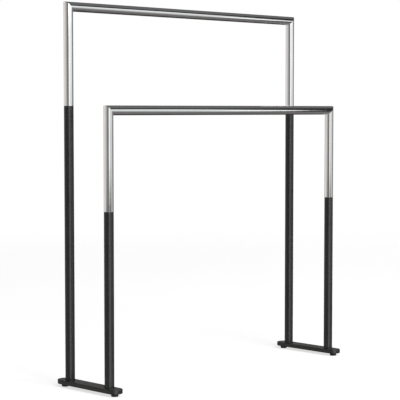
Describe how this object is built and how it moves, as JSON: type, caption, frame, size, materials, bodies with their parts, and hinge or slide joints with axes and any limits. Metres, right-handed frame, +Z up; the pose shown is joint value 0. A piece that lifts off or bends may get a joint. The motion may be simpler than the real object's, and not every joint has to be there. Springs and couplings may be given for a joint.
{
  "type": "towel stand",
  "caption": "Freestanding towel stand: a tall and a low U frame of round tube, chrome above and black below, on flat base bars with screw-in levelling feet.",
  "frame": {"origin": "on the floor, under the middle of the stand", "axes": "+Z up, +X along the rails to the right, +Y from the low front frame to the tall back frame"},
  "size_m": [0.722, 0.187, 0.8],
  "materials": {
    "chrome_tube": "polished chrome plate",
    "black_coat": "satin black powder coat",
    "zinc_steel": "bright zinc plate",
    "foot_rubber": "smooth black rubber"
  },
  "bodies": {
    "stand": {"back_rail": "chrome_tube", "back_left_upper_upright": "chrome_tube", "back_left_leg": "black_coat", "back_left_upper_insert": "zinc_steel", "back_left_leg_top_insert": "zinc_steel", "back_left_leg_bottom_insert": "zinc_steel", "back_left_joint_stud": "zinc_steel", "back_left_base_screw": "zinc_steel", "back_right_upper_upright": "chrome_tube", "back_right_leg": "black_coat", "back_right_upper_insert": "zinc_steel", "back_right_leg_top_insert": "zinc_steel", "back_right_leg_bottom_insert": "zinc_steel", "back_right_joint_stud": "zinc_steel", "back_right_base_screw": "zinc_steel", "front_rail": "chrome_tube", "front_left_upper_upright": "chrome_tube", "front_left_leg": "black_coat", "front_left_upper_insert": "zinc_steel", "front_left_leg_top_insert": "zinc_steel", "front_left_leg_bottom_insert": "zinc_steel", "front_left_joint_stud": "zinc_steel", "front_left_base_screw": "zinc_steel", "front_right_upper_upright": "chrome_tube", "front_right_leg": "black_coat", "front_right_upper_insert": "zinc_steel", "front_right_leg_top_insert": "zinc_steel", "front_right_leg_bottom_insert": "zinc_steel", "front_right_joint_stud": "zinc_steel", "front_right_base_screw": "zinc_steel", "left_base_bar": "black_coat", "right_base_bar": "black_coat"},
    "back_left_foot": {"back_left_foot_pad": "foot_rubber", "back_left_foot_stud": "zinc_steel"},
    "back_right_foot": {"back_right_foot_pad": "foot_rubber", "back_right_foot_stud": "zinc_steel"},
    "front_left_foot": {"front_left_foot_pad": "foot_rubber", "front_left_foot_stud": "zinc_steel"},
    "front_right_foot": {"front_right_foot_pad": "foot_rubber", "front_right_foot_stud": "zinc_steel"}
  },
  "joints": [
    {"name": "back_left_foot_screw", "type": "slide", "parent": "stand", "child": "back_left_foot", "axis": [0, 0, -1], "range_m": [0, 0.003]},
    {"name": "back_right_foot_screw", "type": "slide", "parent": "stand", "child": "back_right_foot", "axis": [0, 0, -1], "range_m": [0, 0.003]},
    {"name": "front_left_foot_screw", "type": "slide", "parent": "stand", "child": "front_left_foot", "axis": [0, 0, -1], "range_m": [0, 0.003]},
    {"name": "front_right_foot_screw", "type": "slide", "parent": "stand", "child": "front_right_foot", "axis": [0, 0, -1], "range_m": [0, 0.003]}
  ]
}
